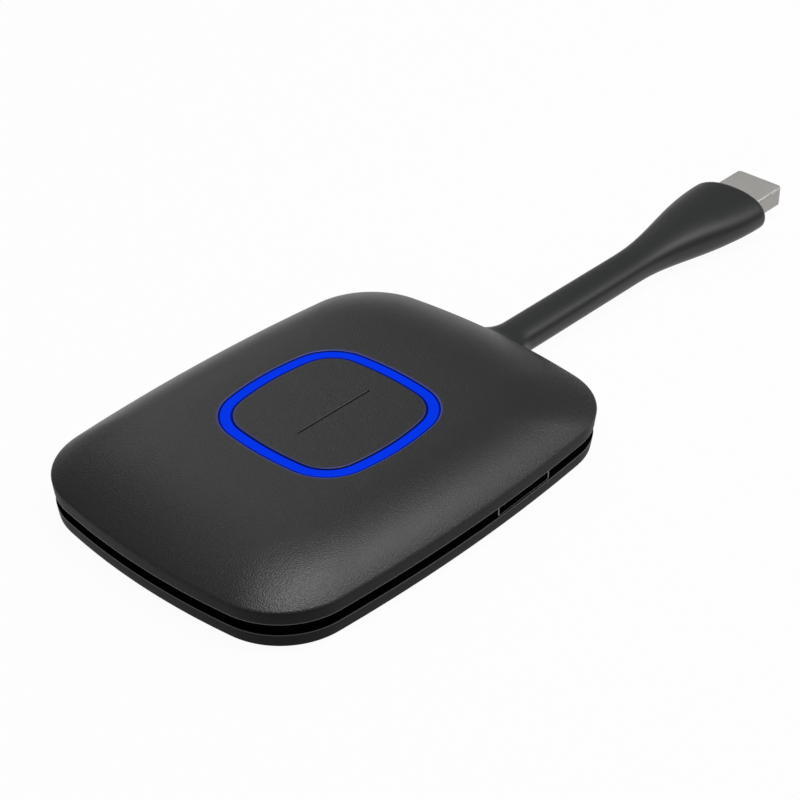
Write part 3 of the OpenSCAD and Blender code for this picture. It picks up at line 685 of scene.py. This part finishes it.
# Circuit board
# Green solder mask over glass laminate, screwed to the base's posts. Copper tracks show through the mask as
# paler lines, with tinned vias where they end.
track_pitch, track_w_share, track_blur = 3.2, 0.06, 0.3
via_pitch, via_r_share = 2.6, 0.09
mask_patch = 1.5
board_mask, tree, shader = new_material("solder_mask", Coat_Weight=0.3)
place = add_node(tree, "TexCoord")
tracks = add_node(tree, "TexBrick", offset=0.5, squash=1.0)
tracks.inputs["Scale"].default_value = 1 / (track_pitch * MM)
tracks.inputs["Mortar Size"].default_value = track_w_share
tracks.inputs["Mortar Smooth"].default_value = track_blur
tracks.inputs["Color1"].default_value = (0.006, 0.06, 0.028, 1)
tracks.inputs["Color2"].default_value = (0.008, 0.07, 0.032, 1)
tracks.inputs["Mortar"].default_value = (0.03, 0.17, 0.075, 1)
vias = add_node(tree, "TexVoronoi")
vias.inputs["Scale"].default_value = 1 / (via_pitch * MM)
ring_line = add_node(tree, "Math", operation="LESS_THAN")
ring_line.inputs[1].default_value = via_r_share
tinned = add_node(tree, "MixRGB")
tinned.inputs["Color2"].default_value = (0.5, 0.5, 0.47, 1)
mask_gloss = add_node(tree, "MapRange")
mask_gloss.inputs["To Min"].default_value = 0.32
mask_gloss.inputs["To Max"].default_value = 0.55
wire(
    tree,
    (place.outputs["Object"], tracks.inputs["Vector"]),
    (place.outputs["Object"], vias.inputs["Vector"]),
    (vias.outputs["Distance"], ring_line.inputs[0]),
    (ring_line.outputs[0], tinned.inputs["Fac"]),
    (tracks.outputs["Color"], tinned.inputs["Color1"]),
    (tinned.outputs[0], shader.inputs["Base Color"]),
    (noise_value(tree, place.outputs["Object"], mask_patch), mask_gloss.inputs["Value"]),
    (mask_gloss.outputs[0], shader.inputs["Roughness"]),
)
dress(board_mask, "main_board")


# Board's parts
# Epoxy chips, a shielded radio with two ceramic antennas, a crystal, the power coil and its can capacitors,
# all soldered flat on the board. A gap pad and a sheet of aluminium take the processor's heat to the base.
dress(moulding("chip_epoxy", (0.012, 0.012, 0.013), size=0.12, speckle=0.25, roughness=0.55),
      "processor", "memory_chips", "power_chips")
dress(metal("shield_can", (0.62, 0.61, 0.58), contrast=0.08, roughness=0.3), "radio_module", "crystal")
dress(moulding("pressed_ferrite", (0.045, 0.045, 0.048), size=0.2, speckle=0.3, relief=0.6, roughness=0.7),
      "power_inductor")
dress(metal("capacitor_can", (0.66, 0.65, 0.62), width=0.05, length=0.05, roughness=0.28), "capacitors")
dress(moulding("antenna_ceramic", (0.68, 0.66, 0.6), size=0.2, speckle=0.06, roughness=0.35), "antennas")
dress(moulding("gap_pad", (0.2, 0.28, 0.5), size=0.5, speckle=0.2, relief=0.6, roughness=0.85),
      "thermal_pad")
dress(metal("spreader_sheet", (0.72, 0.73, 0.74), width=0.15, length=12, roughness=0.32), "heat_spreader")


# Screws, clamp and wires
# Slotted steel screws close the case and hold board and clamp. The clamp presses the cable's jacket into
# the base, and four insulated wires run on from its end to the ivory plug on the board.
dress(metal("screw_zinc", (0.32, 0.32, 0.33), width=0.05, length=0.05, contrast=0.2, roughness=0.38),
      "case_screws", "board_screws", "clamp_screws")
dress(metal("clamp_sheet", (0.6, 0.6, 0.62), roughness=0.36), "cable_clamp")
dress(moulding("header_nylon", (0.74, 0.7, 0.6), speckle=0.05, roughness=0.5), "cable_header")
dress(moulding("wire_jacket", (0.32, 0.02, 0.015), size=0.2, speckle=0.12, roughness=0.45), "inner_wires")


# Switch
# A square push switch with a moulded housing, soldered in the middle of the board. Its stem and a silicone
# collar round it lift the button.
dress(moulding("switch_housing", (0.02, 0.02, 0.021), roughness=0.5), "tact_switch")
dress(moulding("switch_stem", (0.28, 0.04, 0.03), roughness=0.45), "switch_plunger")
dress(moulding("collar_silicone", (0.5, 0.5, 0.51), speckle=0.04, relief=0.1, roughness=0.6,
               Subsurface_Weight=0.3), "return_collar")


# Cover
# The upper shell, moulded in charcoal plastic with a fine soft-touch coat. An upright band runs round it,
# and above a soft shoulder a crown rises to the hole of the light ring. Hollow bosses take the case screws.
band_h = 2.9
z_seam = z_rim + groove_h
z_shoulder = z_seam + band_h
z_top = lid_high.z
z_frame = corners("mid_frame")[1].z
ring_low, ring_high = corners("light_ring")
flange_w = 1.2
ring_side_r, ring_end_r, ring_corner_r = 54, 64, 9.9
ring_shape = (ring_high.x - flange_w, ring_high.y - flange_w, ring_side_r, ring_end_r, ring_corner_r)
roof_t = 1.6
crown_power = 3
inner_inset = 2.25
edge_round = 0.25
hole_round = 0.16
shoulder_share = 0.012
band_shares = (0.1, 0.4, 0.7, 0.94)
crown_inner_share = 0.04
spill_shares = (0.025, 0.018)
roof_shares = (0, 0.08, 0.16, 0.26, 0.38, 0.5, 0.62, 0.74, 0.86, 1)
crown_steps = 30
fill_steps = 8
z_boss = z_sleeve
boss_r = 2.6
boss_pilot_r = 1.0
boss_pilot_l = 5.1


def crown_z(share):
    return z_shoulder + (z_top - z_shoulder) * (1 - share ** crown_power)


def between(a, b, share):
    return [(ax + (bx - ax) * share, ay + (by - ay) * share) for (ax, ay), (bx, by) in zip(a, b)]


def crown_rings(first, last, steps, drop=0.0):
    """Rings of the crown from one share of the way out to the shoulder to another."""
    shares = [first + (last - first) * i / steps for i in range(steps + 1)]
    return [lift(between(hole_line, shoulder_line, s), crown_z(s) - drop) for s in shares]


hole_line = outline(ring_shape, -fit)
shoulder_line = outline(body_shape, -band_flare)
inner_line = outline(body_shape, inner_inset)
inner_share = 1 - (inner_inset + band_flare) / (body_shape[0] - ring_shape[0] + band_flare)
band_low = lift(outline(body_shape, 0), z_seam)
band_top = lift(shoulder_line, z_shoulder)
band = [[a + (b - a) * s for a, b in zip(band_low, band_top)] for s in band_shares]
lid_rings = lean(lift(outline(body_shape, edge_round), z_seam), band_low, band[0])
lid_rings += band[1:3]
lid_rings += lean(band[3], band_top, crown_rings(1 - shoulder_share, 0, 1)[0])
lid_rings += crown_rings(1 - 3 * shoulder_share, crown_inner_share, crown_steps)
lid_rings += crown_rings(*spill_shares, 1)
lid_rings += lean(
    lift(outline(ring_shape, -fit - hole_round), z_top),
    lift(hole_line, z_top),
    lift(hole_line, z_top - hole_round),
)
lid_rings += [
    lift(between(hole_line, inner_line, s), crown_z(s * inner_share) - roof_t)
    for s in roof_shares
]
lid_rings += [lift(inner_line, z_frame), lift(outline(body_shape, wall_inset), z_frame)]
lid_rings += [lift(outline(body_shape, wall_inset), z_seam)]
lid = skin("cover_moulding", lid_rings, looped=True)
bosses = join([rod(x, y, boss_r, z_boss, z_top) for x, y in four_corners(screw_x, screw_y)], "bosses")
under_roof = [lift(shoulder_line, z_floor)] + crown_rings(1, 0, fill_steps, drop=roof_t / 2)
work(bosses, "INTERSECT", [skin("fill", under_roof)])
work(lid, "UNION", [bosses])
z_pilot_end = z_boss + boss_pilot_l
pilots = [rod(x, y, boss_pilot_r, z_boss - overrun, z_pilot_end) for x, y in four_corners(screw_x, screw_y)]
work(lid, "DIFFERENCE", pilots)
work(lid, "DIFFERENCE", [neck_cut()])
soft_touch = moulding("soft_touch_charcoal", (0.0145, 0.0148, 0.0149), size=0.28, speckle=0.12, relief=0.9,
                      roughness=0.37, patchiness=0.04, Specular_IOR_Level=0.38)
mount(lid, soft_touch, ["top_cover"])
# A darker, less glossy copy of the charcoal: its lower gloss is a finish, its darker colour painted shade
# on the upright band.
band_charcoal_painted_shade = moulding("band_charcoal_painted_shade", (0.0095, 0.0097, 0.0097), relief=0.5, roughness=0.5,
                         Specular_IOR_Level=0.08)
lid.data.materials.append(band_charcoal_painted_shade)
lid.data.materials.append(painted_edge_highlight)
# Below the shoulder the cover takes the painted shade, and its lower rounded edge the painted highlight.
edge_slack = 0.05
for face in lid.data.polygons:
    top = max(lid.data.vertices[v].co.z for v in face.vertices) / MM
    if top < z_shoulder - edge_slack:
        face.material_index = 2 if top < z_seam + edge_round + edge_slack else 1


# Light ring
# A blue diffusing lens, moulded with a hidden flange and pressed into the cover from inside. White LEDs on
# the board shine up through a clear guide, and a black baffle keeps their light out of the rest of the
# body.
ring_w = 2.5
ring_round = 0.14
ring_steps = 16
lens_recess = 0.15
z_ring, z_lens = ring_low.z, z_top - lens_recess
z_flange = z_top - roof_t - fit


def level(shape, inset, z):
    return lift(outline(shape, inset), z)


def beyond(shape, x, y):
    """How far a point lies outside a shape's outline, or less than 0 inside it."""
    half_w, half_l, side_r, end_r, corner_r = shape
    corner_x, corner_y = corner_of(shape)
    x, y = abs(x), abs(y)
    turn = atan2(y - corner_y, x - corner_x)
    if turn < atan2(corner_y, corner_x - half_w + side_r):
        return hypot(x - half_w + side_r, y) - side_r
    if turn > atan2(corner_y - half_l + end_r, corner_x):
        return hypot(x, y - half_l + end_r) - end_r
    return hypot(x - corner_x, y - corner_y) - corner_r


def number_points(piece, name, value_at):
    """Stores a number at each of the piece's points, for its material to read."""
    values = piece.data.attributes.new(name, "FLOAT", "POINT")
    for i, vertex in enumerate(piece.data.vertices):
        values.data[i].value = value_at(*(vertex.co / MM))


lens_rings = [level(ring_shape, -flange_w, z_ring), level(ring_shape, -flange_w, z_flange)]
lens_rings += [level(ring_shape, 0, z_flange)]
lens_rings += lean(
    level(ring_shape, 0, z_lens - ring_round),
    level(ring_shape, 0, z_lens),
    level(ring_shape, ring_round, z_lens),
)
lens_rings += [level(ring_shape, ring_w * i / ring_steps, z_lens) for i in range(2, ring_steps - 1)]
lens_rings += lean(
    level(ring_shape, ring_w - ring_round, z_lens),
    level(ring_shape, ring_w, z_lens),
    level(ring_shape, ring_w, z_lens - ring_round),
)
lens_rings += [level(ring_shape, ring_w, z_ring)]
lens = skin("ring_lens", lens_rings, looped=True)

# Painted shade: the lens's glow is darkened along both edges, where the walls of the cover and the cap
# shade it.
shade_w = 0.5


def lens_shade(x, y, z):
    inwards = -beyond(ring_shape, x, y)
    return 1 - min(max(min(inwards, ring_w - inwards), 0) / shade_w, 1)


number_points(lens, "edge_shade", lens_shade)


def light_up(material, number, *stops):
    """Makes a material glow by a number at its points. Each end of the ramp has its colour and place."""
    tree = material.node_tree
    shader = tree.nodes["Principled BSDF"]
    shader.inputs["Emission Strength"].default_value = 1
    near = add_node(tree, "Attribute", attribute_name=number)
    glow = add_node(tree, "ValToRGB")
    for stop, (colour, position) in zip(glow.color_ramp.elements, stops):
        stop.color = (*colour, 1)
        stop.position = position
    wire(
        tree,
        (near.outputs["Fac"], glow.inputs["Fac"]),
        (glow.outputs["Color"], shader.inputs["Emission Color"]),
    )


lens_blue = moulding("lens_blue", (0.001, 0.006, 0.08), size=0.5, speckle=0.03, relief=0.02, roughness=0.5,
                     Specular_IOR_Level=0)
light_up(lens_blue, "edge_shade", ((0.0008, 0.029, 0.72), 0.25), ((0.0005, 0.001, 0.07), 0.6))
mount(lens, lens_blue, ["light_ring"])

# A painted glow of its light lies on the rounded rims on both sides and fades within half a millimetre.
spill_start = 0.1
spill_l = 0.35
spill_depth = 0.08


def spill(x, y, z):
    off = max(abs(beyond(ring_shape, x, y) + ring_w / 2) - ring_w / 2 - spill_start, 0)
    return max(1 - off / spill_l, 0) ** 2 if z > z_top - spill_depth else 0


number_points(lid, "painted_ring_glow", spill)
light_up(soft_touch, "painted_ring_glow", ((0, 0, 0), 0), ((0.03, 0.045, 0.35), 1))
dress(moulding("guide_acrylic", (0.75, 0.8, 0.9), speckle=0.02, relief=0.02, roughness=0.12,
               Transmission_Weight=0.9, IOR=1.49), "light_guide")
dress(moulding("baffle_black", (0.012, 0.012, 0.012), roughness=0.6), "light_baffle")
dress(moulding("led_lens", (0.8, 0.76, 0.55), size=0.1, speckle=0.05, roughness=0.3), "led_set")


# Push button
# A cap in the cover's soft-touch finish fills the ring, held from inside by a catch under the lens. A thin
# line is engraved along it, a skirt guides it, and a rib under it works the switch. It travels half a
# millimetre.
cap_gap = 0.12
cap_inset = ring_w + cap_gap
cap_round = 0.22
plate_t = 1.5
skirt_t = 1.2
catch_w = 0.9
catch_h = 0.9
z_catch = corners("push_button")[0].z
z_plate = z_top - plate_t
mark_x, mark_y = 0.65, 0.4
mark_l, mark_w, mark_d = 18.8, 0.36, 0.4
mark_edge = 0.07
mark_steps = 12
cap_rings = [level(ring_shape, cap_inset + 3 * cap_round, z_top)]
cap_rings += lean(
    level(ring_shape, cap_inset + cap_round, z_top),
    level(ring_shape, cap_inset, z_top),
    level(ring_shape, cap_inset, z_top - cap_round),
)
cap_rings += [
    level(ring_shape, cap_inset, z_catch + catch_h),
    level(ring_shape, cap_inset - catch_w, z_catch + catch_h),
    level(ring_shape, cap_inset - catch_w, z_catch),
    level(ring_shape, cap_inset + skirt_t, z_catch),
    level(ring_shape, cap_inset + skirt_t, z_plate),
    level(ring_shape, cap_inset + skirt_t + flat_rim, z_plate),
]
cap = skin("button_cap", cap_rings)
plunger_r = 1.7
z_stem = corners("switch_plunger")[1].z
work(cap, "UNION", [rod(0, 0, plunger_r, z_stem, z_plate + overrun)])
slot_rings = []
slot_levels = ((0, -mark_d), (0, -mark_edge), (mark_edge, 0), (mark_edge, overrun))
far, near = mark_y + mark_l / 2 - mark_w / 2, mark_y - mark_l / 2 + mark_w / 2
for wider, rise in slot_levels:
    r = mark_w / 2 + wider
    line = arc(mark_x, far, r, 0, pi, mark_steps) + arc(mark_x, near, r, pi, 2 * pi, mark_steps)
    slot_rings.append(lift(line, z_top + rise))
work(cap, "DIFFERENCE", [skin("slot", slot_rings)])
# The cap's rounded rim takes the same painted glow.
number_points(cap, "painted_ring_glow", spill)
mount(cap, soft_touch, ["push_button"], body="button")
cap.data.materials.append(painted_edge_highlight)
# The chamfers along the engraved line take the painted highlight.
least_slant = 0.3
for face in cap.data.polygons:
    x, y, z = face.center / MM
    beside = abs(x - mark_x) < mark_w and abs(y - mark_y) < mark_l / 2 + mark_w
    if beside and z > z_top - mark_edge and least_slant < face.normal.z < nearly_level:
        face.material_index = 1


# Cable
# A short flat cable with a matt elastomer jacket, held inside the body by the clamp. Its jacket runs on
# through the boot and into the plug's grip, which are moulded over it, so that no seam shows.
cable_route = [(0, 38, 4.5), (0, 48, 4.5), (0, 62, 4.5), (0, 79, 4.5), (0, 98, 4.5), (0, 118, 4.5)]
jacket_swell = 0.1
cable_half_w = cable_high.x + jacket_swell
cable_half_h = (cable_high.z - cable_low.z) / 2 + jacket_swell
route_start, route_end = cable_route[0][1], cable_route[-1][1]
cable_rings = [oval(y, cable_half_w, cable_half_h) for y in range(route_start, route_end + 1)]
cable = skin("cable_jacket", cable_rings[::-1])
elastomer = moulding("matt_elastomer", (0.015, 0.0158, 0.0158), size=0.22, speckle=0.1, relief=0.3,
                     roughness=0.41, Specular_IOR_Level=0.38)
mount(cable, elastomer, ["cable"])


# Boot
# The elastomer boot flares out of the cable to the body's rear wall. A neck runs from it through the wall,
# and an anchor block behind the wall takes the pull.
feather = 0.012
bore_gap = 0.004
boot_end, boot_root = boot_high.y, half_l + band_flare + fit
boot_r = 6.2
boot_flat_share = 0.16
boot_steps = 28
boot_crowding = 1.5
anchor_front = anchor_back + anchor_l
boxy = 9
boot_rings = [
    oval(anchor_back, boot_high.x, anchor_half_h, boxy),
    oval(anchor_front, boot_high.x, anchor_half_h, boxy),
    oval(anchor_front, neck_half_w - fit, neck_half_h - fit),
    oval(boot_root, neck_half_w - fit, neck_half_h - fit),
]
feather_half_w, feather_half_h = cable_half_w + feather, cable_half_h + feather
for i in range(boot_steps + 1):
    y = boot_root + (boot_end - boot_root) * (1 - (1 - i / boot_steps) ** boot_crowding)
    left = min(boot_end - y, boot_r)
    flare = boot_r - sqrt(boot_r ** 2 - left ** 2)
    boot_rings.append(oval(y, feather_half_w + flare, feather_half_h + boot_flat_share * flare))


def bore_rings(*ends):
    """Rings of the bore that the cable's jacket runs through."""
    return [oval(y, cable_half_w + bore_gap, cable_half_h + bore_gap) for y in ends]


boot_rings += bore_rings(boot_end, anchor_back)
boot = skin("boot_moulding", boot_rings, looped=True)
mount(boot, elastomer, ["cable_boot"])


# Plug's grip
# The same elastomer is moulded over cable and plug. It swells out of the cable in a soft wave to a wide
# rounded end with the plug's pocket in it.
shell_low, shell_high = corners("plug_shell")
grip_low, grip_high = corners("plug_grip")
grip_end_r = 1.6
grip_swell = 0.15
end_flat_share = 0.2
rise_share = 0.68
grip_wave = grip_high.y - grip_low.y - grip_end_r
grip_half_w = grip_high.x + grip_swell
grip_half_h = (grip_high.z - grip_low.z) / 2
wave_steps = 60
grip_power = 2.25
end_round_steps = 10


def ease(share):
    return (1 - cos(pi * min(share, 1))) / 2


grip_rings = []
for i in range(wave_steps):
    s = i / wave_steps
    half_w = feather_half_w + (grip_half_w - feather_half_w) * ease(s)
    half_h = feather_half_h + (grip_half_h - feather_half_h) * ease(s / rise_share)
    power = oval_power + (grip_power - oval_power) * ease(s / rise_share)
    grip_rings.append(oval(grip_low.y + grip_wave * s, half_w, half_h, power))
for i in range(end_round_steps + 1):
    turn = pi / 2 * i / end_round_steps
    back = grip_end_r * (1 - cos(turn))
    y = grip_high.y - grip_end_r * (1 - sin(turn))
    grip_rings.append(oval(y, grip_half_w - back, grip_half_h - end_flat_share * back, grip_power))
shell_half_w, shell_half_h = shell_high.x, (shell_high.z - shell_low.z) / 2
pocket_end = shell_low.y - fit
grip_rings += [oval(y, shell_half_w + fit, shell_half_h + fit, boxy) for y in (grip_high.y, pocket_end)]
grip_rings += bore_rings(pocket_end, grip_low.y)
grip = skin("grip_moulding", grip_rings, looped=True)
mount(grip, elastomer, ["plug_grip"])


# USB-A plug
# A shell bent from matt nickel-plated sheet, with a white insert in its lower half that carries four gold
# contacts. The standard fixes its size.
sheet_t = 0.3
shell_r = 0.6
least_shell_r = 0.05
lip_round = 0.12
tip_r = 1.3
wide_side_steps = 24


def sheet_ring(y, inset):
    """Ring square to Y, a rounded rectangle some way inside the shell, whose tip is round in plan."""
    half_w, half_h = shell_half_w - inset, shell_half_h - inset
    rounded = rounded_rectangle(half_w, half_h, max(shell_r - inset, least_shell_r))
    points = []
    for (x, z), (next_x, next_z) in zip(rounded, rounded[1:] + rounded[:1]):
        steps = wide_side_steps if abs(next_x - x) > half_w else 1
        points += [(x + (next_x - x) * i / steps, z + (next_z - z) * i / steps) for i in range(steps)]
    ring = []
    for x, z in points:
        over = max(abs(x) - shell_half_w + tip_r, 0)
        set_back = tip_r - sqrt(tip_r ** 2 - over ** 2) if y > shell_high.y - tip_r else 0
        ring.append(Vector((x, y - set_back, cable_z + z)))
    return ring


shell_rings = [sheet_ring(shell_low.y, flat_rim), sheet_ring(shell_low.y, 0)]
shell_rings += lean(
    sheet_ring(shell_high.y - lip_round, 0),
    sheet_ring(shell_high.y, 0),
    sheet_ring(shell_high.y, sheet_t / 2),
)
shell_rings += [sheet_ring(shell_high.y - lip_round, sheet_t), sheet_ring(shell_low.y + sheet_t, sheet_t)]
shell = skin("plug_shell_sheet", shell_rings[::-1])
nickel = metal("matt_nickel", (0.46, 0.45, 0.43), width=0.06, length=1.5, contrast=0.06, roughness=0.68)
mount(shell, nickel, ["plug_shell"])
# A lighter, glossier copy of the nickel on the shell's bends: a painted highlight along its rounded edges.
painted_bend_highlight = metal("nickel_painted_highlight", (0.62, 0.61, 0.58), width=0.06, length=1.5, contrast=0.06, roughness=0.4)
shell.data.materials.append(painted_bend_highlight)
least_bend = 0.35
for face in shell.data.polygons:
    face.material_index = int(min(abs(face.normal.x), abs(face.normal.z)) > least_bend)
dress(moulding("plug_insert", (0.72, 0.71, 0.68), speckle=0.03, roughness=0.4), "plug_tongue")
dress(metal("contact_gold", (0.78, 0.56, 0.2), roughness=0.25), "plug_contacts")
